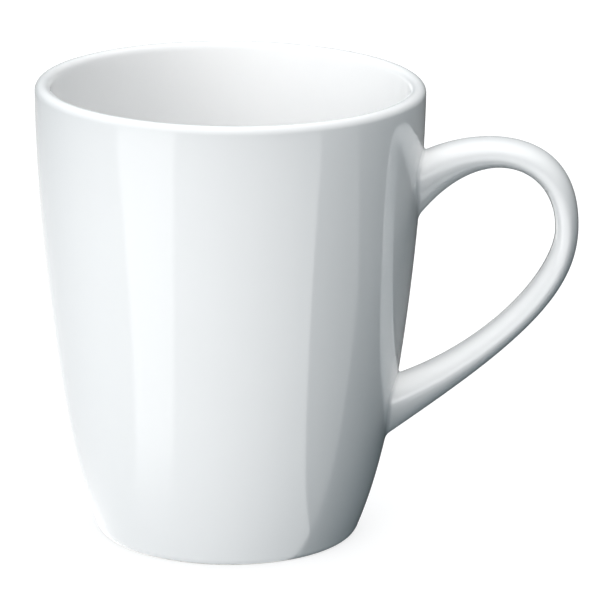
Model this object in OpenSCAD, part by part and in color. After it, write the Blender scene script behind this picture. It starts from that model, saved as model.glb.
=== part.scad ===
// Ceramic mug: a turned clay cup with a separately made strap handle luted on
// with slip, all under a thin coat of clear-white glaze.
// Origin: centre of the foot ring on the table plane. +Z up, +X towards the handle.

/* [Cup] */
// Height from the table to the top of the lip
mug_h = 100; // [90:1:110]
// Outer diameter at the rim
rim_d = 84; // [80:1:90]
// How much smaller the radius is at the foot than at the rim, before the heel turns in
body_taper = 10.4; // [9:0.1:11.5]
// How fast the taper grows on the way down: 1 is a straight cone, 2 a parabola
taper_power = 1.7; // [1.5:0.1:2]
// Extra turn-in of the heel, just above the foot
heel_turn = 3.3; // [2.5:0.1:4]
// Thickness of the wall at the lip
lip_t = 3.4; // [3:0.1:4]
// Thickness of the wall where it meets the floor
heel_t = 4.6; // [4:0.1:5.5]
// Thickness of the floor over the recess
floor_t = 4.5; // [4:0.1:6]
// Height of the sweep between the inner wall and the floor
inner_corner_h = 11; // [8:0.5:14]

/* [Foot] */
// Width of the flat ring that the mug stands on
foot_w = 1.6; // [1:0.1:2.5]
// Depth of the recess inside the foot ring
recess_h = 2.4; // [1.5:0.1:3]
// Height of the rounded edge between the heel and the foot ring
foot_edge_h = 1.8; // [1.2:0.1:2.4]

/* [Handle] */
// Distance from the mug's axis to the outermost point of the handle
handle_reach = 75.1; // [73:0.1:77]
// Height of that outermost point
handle_belly_z = 70; // [67:0.5:72]
// Thickness of the strap there, seen from the side
strap_t = 4.4; // [4:0.1:6]
// Width of the strap, seen from the front
strap_w = 11; // [10:0.5:14]
// How much wider the strap is where it meets the wall
side_flare = 2.5; // [1:0.5:4]
// How sharply the underside narrows to a keel at the wall: 0 keeps the strap's section
keel = 1.15; // [0:0.05:1.2]
// How far the strap's widest line rises at the wall, as a share of the height there
ridge_rise = 0.2; // [0:0.05:0.25]
// Top of the upper end on the wall, measured down from the lip
upper_root_drop = 16; // [14:0.1:19]
// Height of the upper end inside the wall
upper_root_h = 14; // [12:0.1:16]
// Top of the lower end on the wall, measured up from the table
lower_root_z = 34.3; // [32:0.1:37]
// Height of the lower end inside the wall
lower_root_h = 13.8; // [12:0.1:15]

/* [Layers] */
// Thickness of the glaze
glaze_t = 0.3; // [0.2:0.05:0.4]
// Thickness of the layer of slip between the handle and the wall
slip_t = 0.8; // [0.6:0.1:1]

/* [Hidden] */

$fn = 96;

rim_r = rim_d / 2;
lip_r = lip_t / 2;
// Height at which the straight run of the wall passes into the round lip
wall_top = mug_h - lip_r;
// The heel turns in with this power of the depth, so only its lowest part feels it
heel_power = 7;
inner_floor_z = recess_h + floor_t;
// Points along a long curve and along a short one
wall_steps = 26;
arc_steps = 8;

// Radii at which the handle's two ends lie buried inside the wall
upper_root_r = rim_r - 3;
lower_root_r = rim_r - 9.5;
upper_root_z = mug_h - upper_root_drop;

// The handle seen from the side: an outer and an inner edge, each of two cubic curves
// that meet upright at the belly
outer_upper = [
    [upper_root_r, upper_root_z],
    [upper_root_r + 9.9, upper_root_z + 6.8],
    [handle_reach, handle_belly_z + 24.6],
    [handle_reach, handle_belly_z]
];
outer_lower = [
    [handle_reach, handle_belly_z],
    [handle_reach, handle_belly_z - 14.2],
    [handle_reach - 12.2, handle_belly_z - 26.1],
    [lower_root_r, lower_root_z - lower_root_h]
];
inner_reach = handle_reach - strap_t;
inner_upper = [
    [upper_root_r + 0.5, upper_root_z - upper_root_h],
    [upper_root_r + 14.4, upper_root_z + 6.7],
    [inner_reach, handle_belly_z + 15.1],
    [inner_reach, handle_belly_z]
];
inner_lower = [
    [inner_reach, handle_belly_z],
    [inner_reach, handle_belly_z - 9.7],
    [inner_reach - 14, handle_belly_z - 27.5],
    [lower_root_r + 2, lower_root_z]
];
// Rings along each half of the handle, and sides of each ring
upper_rings = 22;
lower_rings = 26;
handle_sides = 20;
// Roundness of the strap's section: 2 is an ellipse, larger is squarer
strap_power = 2.4;
// How suddenly the strap widens near its ends
side_flare_power = 6;
// How suddenly the keel grows towards the upper end and towards the lower one
upper_keel_power = 1.3;
lower_keel_power = 2.5;

clay = [0.90, 0.88, 0.84];
slip = [0.86, 0.84, 0.79];
glaze = [0.95, 0.96, 0.97];

// ---- The cup's outline, in the plane of radius and height ----

// Share of the way down the wall, from 0 at the lip to 1 at the table
function depth(z) = max(0, 1 - z / wall_top);

// Outer radius of the glazed wall at height z
function outer_r(z) =
    rim_r - body_taper * pow(depth(z), taper_power) - heel_turn * pow(depth(z), heel_power);

// Thickness of the wall at height z
function wall_t(z) = lip_t + (heel_t - lip_t) * pow(depth(z), 2);

function inner_r(z) = outer_r(z) - wall_t(z);

// Quadratic curve from a to b that leaves and arrives along the lines to corner c
function curve(a, c, b, t) = (1 - t) * (1 - t) * a + 2 * t * (1 - t) * c + t * t * b;

// Where the inner wall starts to sweep into the floor, and the corner it sweeps round
sweep_z = inner_floor_z + inner_corner_h;
sweep_slope = (inner_r(sweep_z + 0.5) - inner_r(sweep_z - 0.5));
sweep_start = [inner_r(sweep_z), sweep_z];
sweep_corner = [inner_r(sweep_z) - sweep_slope * inner_corner_h, inner_floor_z];
sweep_end = [sweep_corner[0] - inner_corner_h, inner_floor_z];

// The foot ring: the wall's line runs down to it round a small edge
foot_outer_r = outer_r(0) - 0.9;
foot_inner_r = foot_outer_r - foot_w;
recess_corner = [foot_inner_r - recess_h * 0.6, recess_h];

inner_side = concat(
    [[0, inner_floor_z]],
    [for (i = [0:arc_steps]) curve(sweep_end, sweep_corner, sweep_start, i / arc_steps)],
    [for (i = [1:wall_steps])
        let (z = sweep_z + (wall_top - sweep_z) * i / wall_steps)
        [inner_r(z), z]]
);
lip = [for (i = [1:arc_steps - 1])
    let (a = 180 - 180 * i / arc_steps)
    [rim_r - lip_r + lip_r * cos(a), wall_top + lip_r * sin(a)]];
// Levels crowd towards the heel, where the line bends most
outer_side = [for (i = [0:wall_steps])
    let (z = foot_edge_h + (wall_top - foot_edge_h) * pow(1 - i / wall_steps, 1.4))
    [outer_r(z), z]];
foot_edge = [for (i = [1:arc_steps])
    curve(
        [outer_r(foot_edge_h), foot_edge_h],
        [outer_r(foot_edge_h * 0.3), foot_edge_h * 0.1],
        [foot_outer_r, 0],
        i / arc_steps
    )];
recess_side = [for (i = [0:arc_steps])
    curve([foot_inner_r, 0], [foot_inner_r - 0.6, recess_h], recess_corner, i / arc_steps)];

// The glaze ends part-way round the foot's edges, which are wiped clean before firing
wiped_points = 3;
glazed_skin = concat(
    inner_side, lip, outer_side,
    [for (i = [0:arc_steps - 1 - wiped_points]) foot_edge[i]]
);
wiped_outer = [for (i = [arc_steps - wiped_points:arc_steps - 1]) foot_edge[i]];
wiped_inner = [for (i = [0:wiped_points - 1]) recess_side[i]];
recess_skin = concat([for (i = [wiped_points:arc_steps]) recess_side[i]], [[0, recess_h]]);

// Direction square to the skin at point i, towards the clay
function to_clay(skin, i) =
    let (
        before = skin[max(i - 1, 0)],
        after = skin[min(i + 1, len(skin) - 1)],
        along = (after - before) / norm(after - before)
    )
    [along[1], -along[0]];

// The same skin moved by d towards the clay; its ends on the axis stay there
function sunk(skin, d) = [for (i = [0:len(skin) - 1])
    let (p = skin[i] + d * to_clay(skin, i))
    [skin[i][0] == 0 ? 0 : p[0], p[1]]];

function reversed(list) = [for (i = [len(list) - 1:-1:0]) list[i]];

clay_outline = concat(
    sunk(glazed_skin, glaze_t), wiped_outer, wiped_inner, sunk(recess_skin, glaze_t)
);

// ---- The handle's line and section ----

function bezier(c, t) =
    pow(1 - t, 3) * c[0] + 3 * t * pow(1 - t, 2) * c[1]
    + 3 * t * t * (1 - t) * c[2] + pow(t, 3) * c[3];

// One station of the strap: its outer edge, its inner edge, its width, and how far its keel
// has grown, from 0 at the belly to 1 at an end. The keel is below the strap, so it lies on
// the inner edge above the belly and on the outer edge, counted negative, under the belly
upper_stations = [for (i = [0:upper_rings - 1])
    let (t = i / upper_rings)
    [
        bezier(outer_upper, t), bezier(inner_upper, t),
        strap_w + side_flare * pow(1 - t, side_flare_power),
        pow(1 - t, upper_keel_power)
    ]];
lower_stations = [for (i = [0:lower_rings])
    let (t = i / lower_rings)
    [
        bezier(outer_lower, t), bezier(inner_lower, t),
        strap_w + side_flare * pow(t, side_flare_power),
        -pow(t, lower_keel_power)
    ]];
stations = concat(upper_stations, lower_stations);

function signed_pow(v, p) = sign(v) * pow(abs(v), p);

// Ring of points round a station, grown by extra all round
function strap_ring(station, extra) =
    let (
        across = station[0] - station[1],
        keel_growth = station[3],
        inner_share = 0.5 + ridge_rise * keel_growth,
        ridge = station[1] + inner_share * across
    )
    [for (k = [0:handle_sides - 1])
        let (
            a = 360 * k / handle_sides,
            half_t = norm(across) * (cos(a) > 0 ? 1 - inner_share : inner_share),
            power = strap_power - keel * max(0, -sign(cos(a)) * keel_growth),
            out = (half_t + extra) * signed_pow(cos(a), 2 / power),
            side = (station[2] / 2 + extra) * signed_pow(sin(a), 2 / power),
            p = ridge + out * across / norm(across)
        )
        [p[0], side, p[1]]];

// Closed tube of the strap over stations from to to
module strap(from, to, extra) {
    points = [for (i = [from:to]) each strap_ring(stations[i], extra)];
    last = to - from;
    walls = [for (i = [0:last - 1], k = [0:handle_sides - 1])
        let (
            a = i * handle_sides + k,
            b = i * handle_sides + (k + 1) % handle_sides,
            c = b + handle_sides,
            d = a + handle_sides
        )
        each [[a, b, c], [a, c, d]]];
    start_cap = [for (k = [handle_sides - 1:-1:0]) k];
    end_cap = [for (k = [0:handle_sides - 1]) last * handle_sides + k];
    polyhedron(points, concat(walls, [start_cap, end_cap]));
}

last_station = len(stations) - 1;
// Stations that are sure to lie beyond the slip, counted from each end
root_rings = 8;

// Everything within the cup's outer surface, moved in by d, or out where d is negative
module cup_envelope(d) {
    rotate_extrude()
        polygon(concat([[0, 0]], reversed(sunk(outer_side, d)), [[0, wall_top]]));
}

// ---- The pieces ----

module cup_body() {
    color(clay)
        rotate_extrude()
            polygon(clay_outline);
}

module handle() {
    color(clay)
        difference() {
            strap(0, last_station, 0);
            cup_envelope(glaze_t - slip_t);
        }
}

module slip_joint(from, to) {
    color(slip)
        difference() {
            intersection() {
                strap(from, to, 0);
                cup_envelope(glaze_t - slip_t);
            }
            cup_envelope(glaze_t);
        }
}

module upper_slip_joint() {
    slip_joint(0, root_rings);
}

module lower_slip_joint() {
    slip_joint(last_station - root_rings, last_station);
}

module cup_glaze() {
    color(glaze)
        difference() {
            rotate_extrude()
                polygon(concat(glazed_skin, reversed(sunk(glazed_skin, glaze_t))));
            strap(0, root_rings, 0);
            strap(last_station - root_rings, last_station, 0);
        }
}

module handle_glaze() {
    color(glaze)
        difference() {
            strap(0, last_station, glaze_t);
            strap(0, last_station, 0);
            cup_envelope(0);
        }
}

module recess_glaze() {
    color(glaze)
        rotate_extrude()
            polygon(concat(recess_skin, reversed(sunk(recess_skin, glaze_t))));
}

cup_body();
handle();
upper_slip_joint();
lower_slip_joint();
cup_glaze();
handle_glaze();
recess_glaze();
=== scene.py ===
"""Ceramic mug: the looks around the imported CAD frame. Metres, +Z up, +X towards the handle."""
import math

import bmesh
import bpy
import numpy as np
from mathutils import Matrix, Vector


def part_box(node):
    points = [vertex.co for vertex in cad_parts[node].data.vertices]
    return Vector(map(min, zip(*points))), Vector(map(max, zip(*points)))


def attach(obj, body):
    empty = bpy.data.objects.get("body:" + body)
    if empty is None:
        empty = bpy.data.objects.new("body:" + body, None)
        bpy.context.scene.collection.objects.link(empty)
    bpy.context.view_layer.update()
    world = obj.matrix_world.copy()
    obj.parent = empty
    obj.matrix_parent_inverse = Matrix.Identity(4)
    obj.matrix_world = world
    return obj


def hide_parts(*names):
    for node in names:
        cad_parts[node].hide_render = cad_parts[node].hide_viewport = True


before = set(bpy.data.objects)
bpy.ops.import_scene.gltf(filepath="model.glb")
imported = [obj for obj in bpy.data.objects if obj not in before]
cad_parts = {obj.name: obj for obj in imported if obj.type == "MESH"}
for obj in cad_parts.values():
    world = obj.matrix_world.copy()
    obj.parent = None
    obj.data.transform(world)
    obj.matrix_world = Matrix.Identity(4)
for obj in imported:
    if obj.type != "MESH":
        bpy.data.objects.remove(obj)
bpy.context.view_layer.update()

MM = 0.001

# ---- Sizes of the cup: the height and the rim come from the frame, the rest shape what lies between ----

glazed_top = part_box("cup_glaze")[1]
MUG_H = glazed_top.z
RIM_R = glazed_top.y
# How much smaller the radius is at the foot than at the rim, and how late down the wall it shrinks
BODY_TAPER = 10.4 * MM
TAPER_POWER = 1.7
# The heel's extra turn-in, just above the foot
HEEL_TURN = 3.3 * MM
HEEL_POWER = 7
# The wall is this thick at the lip and at the heel
LIP_T = 3.4 * MM
HEEL_T = 4.6 * MM
LIP_R = LIP_T / 2
FLOOR_T = 4.5 * MM
INNER_CORNER_H = 11 * MM
FOOT_W = 1.6 * MM
FOOT_EDGE_H = 1.8 * MM
FOOT_TURN = 0.9 * MM
RECESS_H = 2.4 * MM
RECESS_TURN = 0.6 * MM
RECESS_SLOPE = 0.6
GLAZE_T = 0.3 * MM
WALL_TOP = MUG_H - LIP_R
INNER_FLOOR = RECESS_H + FLOOR_T

# ---- Sizes of the handle's clay: its reach comes from the frame ----

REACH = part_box("handle_glaze")[1].x - GLAZE_T
BELLY_Z = 70 * MM
STRAP_T = 4.4 * MM
STRAP_W = 11 * MM
# How much wider the strap is at its ends, and how late the flare starts
SIDE_FLARE = 2.5 * MM
FLARE_POWER = 6
# The section's corners: 2 is an ellipse and more is squarer. The keel takes KEEL off on one side at each end
SECTION_POWER = 2.4
KEEL = 1.15
RIDGE_RISE = 0.2
UPPER_KEEL_POWER = 1.3
LOWER_KEEL_POWER = 2.5
# The ends, sunk in the wall, and how deep the strap is there
UPPER_ROOT_R = RIM_R - 3 * MM
UPPER_ROOT_Z = MUG_H - 16 * MM
UPPER_ROOT_H = 14 * MM
LOWER_ROOT_R = RIM_R - 9.5 * MM
LOWER_ROOT_Z = 34.3 * MM
LOWER_ROOT_H = 13.8 * MM

# ---- Mesh density ----

AROUND = 160
WALL_ROWS = 56
INNER_ROWS = 60
ARC_ROWS = 12
EDGE_ROWS = 16
# The glaze is wiped off this many rows of both edges of the foot ring, so the ring is bare clay
WIPED_ROWS = 6
# The wall's grid is open in a window round each end of the handle, this many cells wide and high
WINDOW_W = 16
WINDOW_H = 16
# The strap has one side for each point round a window
SIDES = 2 * (WINDOW_W + WINDOW_H)
STRAP_ROWS = 140
FILLET_L = 1.1 * MM
FILLET_ROWS = 8
PATCH_ROWS = 4
# Halving an interval this often finds a crossing to far below a micrometre
HALVINGS = 40


# ---- The cup's outline, as rows of radius and height ----

def depth(z):
    """Share of the way down the wall, from 0 at the lip to 1 at the table."""
    return np.maximum(0.0, 1 - z / WALL_TOP)


def outer_r(z):
    return RIM_R - BODY_TAPER * depth(z) ** TAPER_POWER - HEEL_TURN * depth(z) ** HEEL_POWER


def inner_r(z):
    return outer_r(z) - LIP_T - (HEEL_T - LIP_T) * depth(z) ** 2


def slope(radius_at, z, step=0.1 * MM):
    """How fast a radius grows with height."""
    return (radius_at(z + step) - radius_at(z - step)) / (2 * step)


def curve(a, corner, b, rows):
    """The quadratic curve from a to b that leaves and arrives along the lines to the corner."""
    t = np.linspace(0, 1, rows + 1)[:, None]
    a, corner, b = np.array(a), np.array(corner), np.array(b)
    return (1 - t) ** 2 * a + 2 * t * (1 - t) * corner + t * t * b


def flat(r_from, r_to, z, rows):
    return np.stack([np.linspace(r_from, r_to, rows + 1), np.full(rows + 1, z)], -1)


def joined(*parts):
    """The parts end to end: each one starts at the last point of the one before."""
    return np.vstack([parts[0]] + [part[1:] for part in parts[1:]])


def inside_outline():
    """From the middle of the cup's floor up to the start of the lip."""
    sweep_z = INNER_FLOOR + INNER_CORNER_H
    start_r = inner_r(sweep_z)
    corner_r = start_r - slope(inner_r, sweep_z) * INNER_CORNER_H
    floor_r = corner_r - INNER_CORNER_H
    z = np.linspace(sweep_z, WALL_TOP, INNER_ROWS + 1)
    return joined(
        flat(0, floor_r, INNER_FLOOR, ARC_ROWS),
        curve((floor_r, INNER_FLOOR), (corner_r, INNER_FLOOR), (start_r, sweep_z), 2 * ARC_ROWS),
        np.stack([inner_r(z), z], -1),
    )


def lip_outline():
    """The half round from the inside of the wall over to its outside."""
    a = np.linspace(math.pi, 0, 2 * ARC_ROWS + 1)
    return np.stack([RIM_R - LIP_R + LIP_R * np.cos(a), WALL_TOP + LIP_R * np.sin(a)], -1)


WALL_Z = np.linspace(WALL_TOP, FOOT_EDGE_H, WALL_ROWS + 1)
FOOT_R = outer_r(0) - FOOT_TURN
RECESS_R = FOOT_R - FOOT_W
FOOT_EDGE = curve(
    (outer_r(FOOT_EDGE_H), FOOT_EDGE_H),
    (outer_r(0.3 * FOOT_EDGE_H), 0.1 * FOOT_EDGE_H),
    (FOOT_R, 0),
    EDGE_ROWS,
)
RECESS_EDGE = curve(
    (RECESS_R, 0),
    (RECESS_R - RECESS_TURN, RECESS_H),
    (RECESS_R - RECESS_SLOPE * RECESS_H, RECESS_H),
    EDGE_ROWS,
)
RECESS_CEILING = flat(RECESS_EDGE[-1, 0], 0, RECESS_H, ARC_ROWS)


def sunk(line, d):
    """The outline moved by d to its right-hand side, which is the clay's side of the glaze."""
    along = np.gradient(line, axis=0)
    along /= np.linalg.norm(along, axis=1)[:, None]
    moved = line + d * np.stack([along[:, 1], -along[:, 0]], -1)
    moved[line[:, 0] == 0, 0] = 0
    return moved


# ---- The handle's surface ----

# Its outer and inner edges, each of two cubic curves that meet level with the belly: points of x and z
INNER_REACH = REACH - STRAP_T
OUTER_UPPER = (
    (UPPER_ROOT_R, UPPER_ROOT_Z),
    (UPPER_ROOT_R + 9.9 * MM, UPPER_ROOT_Z + 6.8 * MM),
    (REACH, BELLY_Z + 24.6 * MM),
    (REACH, BELLY_Z),
)
OUTER_LOWER = (
    (REACH, BELLY_Z),
    (REACH, BELLY_Z - 14.2 * MM),
    (REACH - 12.2 * MM, BELLY_Z - 26.1 * MM),
    (LOWER_ROOT_R, LOWER_ROOT_Z - LOWER_ROOT_H),
)
INNER_UPPER = (
    (UPPER_ROOT_R + 0.5 * MM, UPPER_ROOT_Z - UPPER_ROOT_H),
    (UPPER_ROOT_R + 14.4 * MM, UPPER_ROOT_Z + 6.7 * MM),
    (INNER_REACH, BELLY_Z + 15.1 * MM),
    (INNER_REACH, BELLY_Z),
)
INNER_LOWER = (
    (INNER_REACH, BELLY_Z),
    (INNER_REACH, BELLY_Z - 9.7 * MM),
    (INNER_REACH - 14 * MM, BELLY_Z - 27.5 * MM),
    (LOWER_ROOT_R + 2 * MM, LOWER_ROOT_Z),
)
# Stations along the handle
UPPER_END, BELLY, LOWER_END = 0.0, 1.0, 2.0
RING_ANGLES = 2 * math.pi * np.arange(SIDES) / SIDES


def bezier(points, t):
    a, b, c, d = (np.array(p) for p in points)
    t = t[..., None]
    return (1 - t) ** 3 * a + 3 * t * (1 - t) ** 2 * b + 3 * t * t * (1 - t) * c + t ** 3 * d


def edge(upper, lower, s):
    """The point at station s of the edge made of the upper and the lower curve."""
    down = s > BELLY
    return np.where(down[..., None], bezier(lower, np.maximum(s - 1, 0)), bezier(upper, np.minimum(s, 1)))


def signed_power(v, p):
    return np.sign(v) * np.abs(v) ** p


def strap(s, angle):
    """Points of the glazed strap at stations s and angles round its section, 0 on the outer edge."""
    outer = edge(OUTER_UPPER, OUTER_LOWER, s)
    inner = edge(INNER_UPPER, INNER_LOWER, s)
    thickness = np.linalg.norm(outer - inner, axis=-1)
    width = STRAP_W + SIDE_FLARE * np.abs(s - BELLY) ** FLARE_POWER
    # 1 at the upper end, with the keel inside, 0 at the belly, and -1 at the lower end, with it outside
    keel_power = np.where(s < BELLY, UPPER_KEEL_POWER, LOWER_KEEL_POWER)
    keel_growth = np.sign(BELLY - s) * np.abs(s - BELLY) ** keel_power
    on_outer = np.cos(angle) > 0
    inner_share = 0.5 + RIDGE_RISE * keel_growth
    power = SECTION_POWER - KEEL * np.maximum(0, -np.sign(np.cos(angle)) * keel_growth)
    half = thickness * np.where(on_outer, 1 - inner_share, inner_share)
    out = (half + GLAZE_T) * signed_power(np.cos(angle), 2 / power)
    side = (width / 2 + GLAZE_T) * signed_power(np.sin(angle), 2 / power)
    point = inner + (inner_share + out / thickness)[..., None] * (outer - inner)
    return np.stack([point[..., 0], side, point[..., 1]], -1)


# ---- Where the strap meets the wall ----

def on_wall(theta, z):
    r = outer_r(z)
    return np.stack([r * np.cos(theta), r * np.sin(theta), z], -1)


def polar(points):
    """Angles round the cup and heights."""
    return np.arctan2(points[..., 1], points[..., 0]), points[..., 2]


def wall_normal(points):
    theta, z = polar(points)
    normal = np.stack([np.cos(theta), np.sin(theta), -slope(outer_r, z)], -1)
    return normal / np.linalg.norm(normal, axis=-1)[:, None]


def clearance(points):
    """How far points are outside the wall."""
    return np.hypot(points[..., 0], points[..., 1]) - outer_r(points[..., 2])


def station_where(value, start, end):
    """For each side of the strap, the station between start and end where value turns positive."""
    low, high = np.full(SIDES, start), np.full(SIDES, end)
    for _ in range(HALVINGS):
        middle = (low + high) / 2
        positive = value(strap(middle, RING_ANGLES)) > 0
        low, high = np.where(positive, low, middle), np.where(positive, middle, high)
    return high


def fillet(end):
    """The stations where the strap passes into one fillet, and the fillet's rows from there to the wall."""
    at_wall = station_where(clearance, end, BELLY)
    corner = strap(at_wall, RING_ANGLES)
    start = station_where(lambda p: np.linalg.norm(p - corner, axis=-1) - FILLET_L, at_wall, BELLY)
    along = np.roll(corner, -1, axis=0) - np.roll(corner, 1, axis=0)
    away = np.cross(along, wall_normal(corner))
    away /= np.linalg.norm(away, axis=1)[:, None]
    away *= np.sign(np.sum(away * (corner - corner.mean(axis=0)), axis=1))[:, None]
    theta, z = polar(corner)
    toe_theta, toe_z = polar(corner + FILLET_L * away)
    rows = []
    for u in np.linspace(0, 1, FILLET_ROWS + 1):
        from_strap = strap(start + u * (at_wall - start), RING_ANGLES)
        along_wall = on_wall(theta + u * (toe_theta - theta), z + u * (toe_z - z))
        ease = u * u * (3 - 2 * u)
        rows.append((1 - ease) * from_strap + ease * along_wall)
    return start, rows


# ---- Building meshes ----

class Skin:
    """A mesh made of rows of points, each row joined to the next by four-sided faces."""

    def __init__(self):
        self.points = []
        self.faces = []

    def row(self, points):
        """Add points, and give back their numbers."""
        first = len(self.points)
        self.points.extend(map(tuple, points))
        return list(range(first, len(self.points)))

    def ring(self, radius, z):
        """A level ring round the axis, or the one point that it comes to on the axis."""
        a = 2 * math.pi * np.arange(AROUND) / AROUND
        if radius == 0:
            return self.row([(0, 0, z)]) * AROUND
        return self.row(np.stack([radius * np.cos(a), radius * np.sin(a), np.full(AROUND, z)], -1))

    def join(self, row_a, row_b, but=()):
        """Faces between two closed rows, except in the columns named."""
        for i in range(len(row_a)):
            if i in but:
                continue
            j = (i + 1) % len(row_a)
            corners = list(dict.fromkeys((row_a[i], row_a[j], row_b[j], row_b[i])))
            self.faces.append(corners)

    def join_all(self, rows):
        for row_a, row_b in zip(rows, rows[1:]):
            self.join(row_a, row_b)

    def turned(self, outline):
        """Rings for every point of an outline, joined; gives back the rings."""
        rings = [self.ring(r, z) for r, z in outline]
        self.join_all(rings)
        return rings

    def made(self, name):
        """The skin as a smooth Blender object."""
        mesh = bpy.data.meshes.new(name)
        mesh.from_pydata(self.points, [], self.faces)
        work = bmesh.new()
        work.from_mesh(mesh)
        bmesh.ops.recalc_face_normals(work, faces=work.faces)
        work.to_mesh(mesh)
        work.free()
        for face in mesh.polygons:
            face.use_smooth = True
        piece = bpy.data.objects.new(name, mesh)
        bpy.context.scene.collection.objects.link(piece)
        return piece


def handle_skin(skin):
    """The strap with a fillet at each end; gives back the toe rows, where the fillets end on the wall."""
    upper_start, upper_fillet = fillet(UPPER_END)
    lower_start, lower_fillet = fillet(LOWER_END)
    stations = np.linspace(upper_start, lower_start, STRAP_ROWS + 1)[1:-1]
    between = [strap(s, RING_ANGLES) for s in stations]
    rows = [skin.row(points) for points in upper_fillet[::-1] + between + lower_fillet]
    skin.join_all(rows)
    return rows[0], rows[-1]


def window_top(skin, toe):
    """The row of the wall's grid at the top of the window round a toe."""
    heights = [skin.points[i][2] for i in toe]
    middle_z = (min(heights) + max(heights)) / 2
    middle_row = round((WALL_TOP - middle_z) / (WALL_TOP - FOOT_EDGE_H) * WALL_ROWS)
    return middle_row - WINDOW_H // 2


def window_border(wall, top, is_upper):
    """The wall's points round a window, in the order of the strap's sides; its outer edge comes first."""
    half, bottom = WINDOW_W // 2, top + WINDOW_H
    first, last, step = (top, bottom, 1) if is_upper else (bottom, top, -1)
    cells = [(first, c) for c in range(half)]
    cells += [(r, half) for r in range(first, last, step)]
    cells += [(last, c) for c in range(half, -half, -1)]
    cells += [(r, -half) for r in range(last, first, -step)]
    cells += [(first, c) for c in range(-half, 0)]
    return [wall[r][c % AROUND] for r, c in cells]


def patch(skin, toe, border):
    """Rows on the wall from the toe of a fillet out to the border of its window."""
    points = np.array(skin.points)
    toe_theta, toe_z = polar(points[toe])
    out_theta, out_z = polar(points[border])
    rows = [toe]
    for u in np.linspace(0, 1, PATCH_ROWS + 1)[1:-1]:
        rows.append(skin.row(on_wall(toe_theta + u * (out_theta - toe_theta), toe_z + u * (out_z - toe_z))))
    skin.join_all(rows + [border])


def glaze_coat():
    """One coat of glaze over the cup, inside and out, and over the handle."""
    skin = Skin()
    rim = skin.turned(joined(inside_outline(), lip_outline()))[-1]
    wall = [rim] + [skin.ring(outer_r(z), z) for z in WALL_Z[1:]]
    skin.join_all([wall[-1]] + [skin.ring(r, z) for r, z in FOOT_EDGE[1:-WIPED_ROWS]])
    window_columns = [c % AROUND for c in range(-WINDOW_W // 2, WINDOW_W // 2)]
    open_cells = {}
    for toe, is_upper in zip(handle_skin(skin), (True, False)):
        top = window_top(skin, toe)
        patch(skin, toe, window_border(wall, top, is_upper))
        open_cells.update({r: window_columns for r in range(top, top + WINDOW_H)})
    for r in range(WALL_ROWS):
        skin.join(wall[r], wall[r + 1], open_cells.get(r, ()))
    piece = skin.made("glaze_coat")
    coat = piece.modifiers.new("coat thickness", "SOLIDIFY")
    coat.thickness = GLAZE_T
    coat.offset = -1
    return piece


def clay_cup():
    """The cup's clay under the glaze, which comes to light on the wiped foot ring."""
    outside = np.stack([outer_r(WALL_Z), WALL_Z], -1)
    glazed = joined(inside_outline(), lip_outline(), outside, FOOT_EDGE[:-WIPED_ROWS])
    outline = np.vstack([
        sunk(glazed, GLAZE_T),
        FOOT_EDGE[-WIPED_ROWS:],
        RECESS_EDGE[:WIPED_ROWS],
        sunk(joined(RECESS_EDGE[WIPED_ROWS:], RECESS_CEILING), GLAZE_T),
    ])
    skin = Skin()
    skin.turned(outline)
    return skin.made("clay_cup")


def recess_coat():
    """The glaze under the cup, inside the foot ring."""
    outline = joined(RECESS_EDGE[WIPED_ROWS:], RECESS_CEILING)
    skin = Skin()
    outer = skin.turned(outline)
    inner = skin.turned(sunk(outline, GLAZE_T))
    skin.join(outer[0], inner[0])
    return skin.made("recess_coat")


# ---- Materials ----

class Nodes:
    """A material's or world's node tree, with short ways to add nodes, link them and calculate."""

    def __init__(self, owner):
        owner.use_nodes = True
        self.tree = owner.node_tree
        self.tree.nodes.clear()

    def add(self, kind, values=None, **settings):
        """A node of one kind. Each value is a link where it is a socket, and is set where it isn't."""
        node = self.tree.nodes.new("ShaderNode" + kind)
        for name, value in settings.items():
            setattr(node, name, value)
        for socket, value in (values or {}).items():
            if isinstance(value, bpy.types.NodeSocket):
                self.tree.links.new(value, node.inputs[socket])
            else:
                node.inputs[socket].default_value = value
        return node

    def place(self):
        return self.add("TexCoord").outputs["Object"]

    def colours(self, value, *stops):
        """A colour that goes evenly through the stops, each given as a share and a colour."""
        node = self.add("ValToRGB", {"Fac": value})
        elements = node.color_ramp.elements
        elements[0].position, elements[1].position = stops[0][0], stops[-1][0]
        for share, _ in stops[1:-1]:
            elements.new(share)
        for element, (_, colour) in zip(elements, stops):
            element.color = colour + (1,)
        return node.outputs["Color"]

    def math(self, operation, *values):
        return self.add("Math", dict(enumerate(values)), operation=operation).outputs[0]

    def product(self, first, *others):
        for other in others:
            first = self.math("MULTIPLY", first, other)
        return first

    def step(self, value, start, end, low=0.0, high=1.0):
        """From low at start to high at end, with soft shoulders, and level beyond."""
        inputs = {"Value": value, "From Min": start, "From Max": end, "To Min": low, "To Max": high}
        return self.add("MapRange", inputs, interpolation_type="SMOOTHSTEP").outputs["Result"]

    def mixed(self, a, b, share):
        """From a, where the share is 0, to b, where it is 1."""
        return self.math("MULTIPLY_ADD", self.math("SUBTRACT", b, a), share, a)


def finished(name, shader_of):
    material = bpy.data.materials.new(name)
    nodes = Nodes(material)
    nodes.add("OutputMaterial", {"Surface": shader_of(nodes).outputs[0]})
    return material


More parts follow.
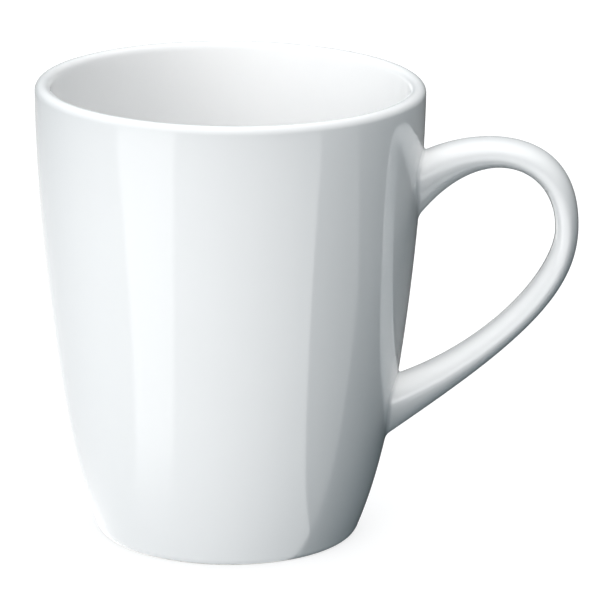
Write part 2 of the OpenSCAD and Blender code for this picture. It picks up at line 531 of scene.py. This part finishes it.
def glaze_shader(nodes):
    """Glass-smooth white, faintly cloudy and with a faint ripple."""
    place = nodes.place()
    waves = nodes.add("TexNoise", {"Vector": place, "Scale": 90.0, "Detail": 2.0, "Roughness": 0.4})
    bump = nodes.add("Bump", {"Strength": 0.05, "Distance": 0.05 * MM, "Height": waves.outputs["Fac"]})
    clouds = nodes.add("TexNoise", {"Vector": place, "Scale": 25.0, "Detail": 3.0})
    tint = nodes.colours(clouds.outputs["Fac"], (0.3, (0.895, 0.887, 0.883)), (0.7, (0.912, 0.904, 0.90)))
    return nodes.add("BsdfPrincipled", {
        "Base Color": tint, "Roughness": 0.03, "IOR": 1.75, "Normal": bump.outputs["Normal"],
    })


def clay_shader(nodes):
    """Bare fired stoneware: dry, buff and speckled."""
    place = nodes.place()
    grain = nodes.add("TexNoise", {"Vector": place, "Scale": 2500.0, "Detail": 4.0, "Roughness": 0.7})
    bump = nodes.add("Bump", {"Strength": 0.4, "Distance": 0.05 * MM, "Height": grain.outputs["Fac"]})
    tint = nodes.colours(grain.outputs["Fac"], (0.35, (0.52, 0.47, 0.40)), (0.6, (0.74, 0.70, 0.63)))
    return nodes.add("BsdfPrincipled", {
        "Base Color": tint, "Roughness": 0.85, "Normal": bump.outputs["Normal"],
    })


def slip_shader(nodes):
    """Joining slip, finer than the clay and wiped smooth."""
    grain = nodes.add("TexNoise", {"Vector": nodes.place(), "Scale": 1200.0, "Detail": 3.0})
    tint = nodes.colours(grain.outputs["Fac"], (0.0, (0.60, 0.56, 0.50)), (1.0, (0.72, 0.69, 0.63)))
    return nodes.add("BsdfPrincipled", {"Base Color": tint, "Roughness": 0.9})


glaze = finished("glaze", glaze_shader)
clay = finished("clay", clay_shader)
slip = finished("slip", slip_shader)


def placed(piece, material, slot, *replaced):
    piece.data.materials.append(material)
    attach(piece, "root")
    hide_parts(*replaced)


placed(glaze_coat(), glaze, "glaze", "cup_glaze", "handle_glaze")
placed(clay_cup(), clay, "clay", "cup_body")
placed(recess_coat(), glaze, "glaze", "recess_glaze")
for node, material in (("handle", clay), ("upper_slip_joint", slip), ("lower_slip_joint", slip)):
    for material_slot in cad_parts[node].material_slots:
        material_slot.material = material


# ---- Camera ----

LENS = 254
SENSOR_W = 36
CAMERA_DISTANCE = 0.886
CAMERA_HEIGHT = 0.306
# How far the camera stands round from straight in front, towards the handle
CAMERA_AZIMUTH = math.radians(6)
# How far beside the mug's axis it aims, which leaves room for the handle
AIM_OFFSET = math.radians(0.997)
CAMERA_PITCH = math.radians(16.03)
CAMERA_ROLL = math.radians(0.661)


def studio_camera():
    camera = bpy.data.objects.new("camera", bpy.data.cameras.new("camera"))
    camera.data.lens = LENS
    camera.data.sensor_width = SENSOR_W
    stand = Matrix.Translation((
        CAMERA_DISTANCE * math.sin(CAMERA_AZIMUTH),
        -CAMERA_DISTANCE * math.cos(CAMERA_AZIMUTH),
        CAMERA_HEIGHT,
    ))
    turn = Matrix.Rotation(CAMERA_AZIMUTH - AIM_OFFSET, 4, "Z")
    tilt = Matrix.Rotation(math.pi / 2 - CAMERA_PITCH, 4, "X")
    roll = Matrix.Rotation(CAMERA_ROLL, 4, "Z")
    camera.matrix_world = stand @ turn @ tilt @ roll
    bpy.context.scene.collection.objects.link(camera)
    bpy.context.scene.camera = camera


# ---- Studio: the mug gets its light from the world, and mirrors a card that lies level with the floor ----

# Half the width of the floor and of the card, and how far the card is under the floor
FLOOR_HALF = 6.0
CARD_HALF = 3.0
CARD_DROP = 0.1 * MM

# What the card shows, in the studio's own axes: x to the right, y to the back, azimuth in degrees from the
# front to the right, and reach from the mug's axis. A pair is where a change starts and ends.

# The table's light by reach
TABLE_FADE = (0.10, 0.60)
TABLE_NEAR = 2.0
TABLE_FAR = 0.5
# A bright panel in front, towards the left
PANEL_LEFT = (-68.0, -64.0)
PANEL_RIGHT = (-29.0, -33.0)
PANEL_FADE = (0.03, 0.09)
PANEL_LIGHT = 0.9
# Less light comes from the back left and from the right
LEFT_FADE = (-130.0, -75.0)
LEFT_SHARE = 0.7
RIGHT_EDGE = (51.0, 53.0)
RIGHT_SHARE = 0.3
# Nearer than this reach, the panel's left edge and the right side's edge swing by so many degrees a metre
SWING_REACH = 0.35
PANEL_SWING = 40.0
RIGHT_SWING = 25.0
# The mug's own shadow runs off to the right. Its front edge slants, and slants more beyond SHADOW_BEND
SHADOW_FRONT = 0.0245
SHADOW_SLANT = 0.03
SHADOW_BEND = 0.17
SHADOW_BEND_SLANT = 0.24
SHADOW_EDGE = (-0.0015, 0.0015)
SHADOW_START = (-0.01, 0.01)
SHADOW_SHARE = 0.03

# Light level round the horizon and round the upper walls, by share of the way from behind the mug
# through its left, its front at a half, and its right back to behind
LOW_LIGHTS = [
    (0, 0.5), (0.15, 0), (0.22, 0.2), (0.29, 1.8), (0.36, 2.6), (0.42, 3.4), (0.47, 4.8), (0.51, 2.4),
    (0.55, 0), (0.78, 0), (1, 0.5),
]
HIGH_LIGHTS = [
    (0, 2.1), (0.2, 0.2), (0.33, 0.5), (0.48, 2.7), (0.53, 0.5), (0.58, 0), (0.75, 0.3), (0.84, 3.3),
    (1, 2.4),
]
TOP_LIGHT = 2.1
UNDER_LIGHT = 0.2
# The room is this dim in the glaze's reflections, so that the card is what they show
MIRRORED_ROOM = 0.08
# Where the levels change over, as heights on a sphere of radius 1 round the mug
HORIZON = (-0.02, 0.02)
LOW_TO_HIGH = (0.45, 0.55)
HIGH_TO_TOP = (0.84, 0.90)
# The weaker light is cooler, and from WHITE_LEVEL up it is plain white
WHITE_LEVEL = 2.2
SHADE_TINT = (0.62, 0.87, 1.0)
WHITE = (1.0, 1.0, 1.0)


def studio_axes(nodes, direction):
    """A direction's x, y and z in the studio's own axes, and its azimuth."""
    inputs = {"Vector": direction, "Angle": -CAMERA_AZIMUTH}
    turned = nodes.add("VectorRotate", inputs, rotation_type="Z_AXIS")
    x, y, z = nodes.add("SeparateXYZ", {"Vector": turned.outputs["Vector"]}).outputs
    azimuth = nodes.math("DEGREES", nodes.math("ARCTAN2", x, nodes.math("MULTIPLY", y, -1.0)))
    return x, y, z, azimuth


def level_plane(name, half, z, shader_of, mirrored):
    """A square of the stage that only the camera sees or, if mirrored, only the glaze."""
    mesh = bpy.data.meshes.new(name)
    corners = [(-half, -half, z), (half, -half, z), (half, half, z), (-half, half, z)]
    mesh.from_pydata(corners, [], [(0, 1, 2, 3)])
    mesh.materials.append(finished(name, shader_of))
    plane = bpy.data.objects.new(name, mesh)
    bpy.context.scene.collection.objects.link(plane)
    plane.visible_camera = not mirrored
    plane.visible_glossy = mirrored
    plane.visible_diffuse = False
    plane.visible_shadow = False


def floor_shader(nodes):
    """Pale paper that glows a little, so that it is nearly even."""
    return nodes.add("BsdfPrincipled", {
        "Base Color": (0.3, 0.3, 0.3, 1), "Roughness": 1.0, "Specular IOR Level": 0.0,
        "Emission Color": (1, 1, 1, 1), "Emission Strength": 0.75,
    })


def card_shader(nodes):
    """The lit table top as the glaze mirrors it: bright in front, dark in the mug's own shadow."""
    x, y, _, azimuth = studio_axes(nodes, nodes.place())
    reach = nodes.math("SQRT", nodes.math("MULTIPLY_ADD", x, x, nodes.math("MULTIPLY", y, y)))
    near = nodes.math("MAXIMUM", nodes.math("SUBTRACT", SWING_REACH, reach), 0.0)
    table = nodes.step(reach, *TABLE_FADE, TABLE_NEAR, TABLE_FAR)
    panel = nodes.product(
        nodes.step(nodes.math("MULTIPLY_ADD", near, -PANEL_SWING, azimuth), *PANEL_LEFT),
        nodes.step(azimuth, *PANEL_RIGHT),
        nodes.step(reach, *PANEL_FADE, 0.0, PANEL_LIGHT),
    )
    left = nodes.step(azimuth, *LEFT_FADE, LEFT_SHARE, 1.0)
    right = nodes.step(nodes.math("MULTIPLY_ADD", near, RIGHT_SWING, azimuth), *RIGHT_EDGE, 1.0, RIGHT_SHARE)
    front = nodes.math("MULTIPLY_ADD", x, SHADOW_SLANT, SHADOW_FRONT)
    bend = nodes.math("MAXIMUM", nodes.math("SUBTRACT", x, SHADOW_BEND), 0.0)
    front = nodes.math("MULTIPLY_ADD", bend, SHADOW_BEND_SLANT, front)
    behind = nodes.step(nodes.math("ADD", y, front), *SHADOW_EDGE)
    shadow = nodes.step(nodes.product(behind, nodes.step(x, *SHADOW_START)), 0.0, 1.0, 1.0, SHADOW_SHARE)
    light = nodes.product(nodes.math("ADD", table, panel), left, right, shadow)
    return nodes.add("Emission", {"Color": WHITE + (1,), "Strength": light})


def lights_round(nodes, share, stops):
    """The light level at a share of the way round, with even changes between the stops."""
    brightest = max(level for _, level in stops)
    greys = [(stop, (level / brightest,) * 3) for stop, level in stops]
    return nodes.math("MULTIPLY", nodes.colours(share, *greys), brightest)


def studio_world():
    world = bpy.data.worlds.new("studio")
    bpy.context.scene.world = world
    nodes = Nodes(world)
    _, _, z, azimuth = studio_axes(nodes, nodes.add("TexCoord").outputs["Generated"])
    share = nodes.math("MULTIPLY_ADD", azimuth, 1 / 360, 0.5)
    low = lights_round(nodes, share, LOW_LIGHTS)
    high = lights_round(nodes, share, HIGH_LIGHTS)
    light = nodes.mixed(low, high, nodes.step(z, *LOW_TO_HIGH))
    light = nodes.mixed(light, TOP_LIGHT, nodes.step(z, *HIGH_TO_TOP))
    light = nodes.mixed(UNDER_LIGHT, light, nodes.step(z, *HORIZON))
    light = nodes.mixed(light, MIRRORED_ROOM, nodes.add("LightPath").outputs["Is Glossy Ray"])
    whiteness = nodes.math("MULTIPLY", light, 1 / WHITE_LEVEL)
    tint = nodes.colours(whiteness, (0.0, SHADE_TINT), (1.0, WHITE))
    back = nodes.add("Background", {"Color": tint, "Strength": light})
    nodes.add("OutputWorld", {"Surface": back.outputs["Background"]})


studio_camera()
level_plane("floor", FLOOR_HALF, 0.0, floor_shader, mirrored=False)
level_plane("reflection_card", CARD_HALF, -CARD_DROP, card_shader, mirrored=True)
studio_world()
bpy.context.scene.view_settings.view_transform = "Standard"
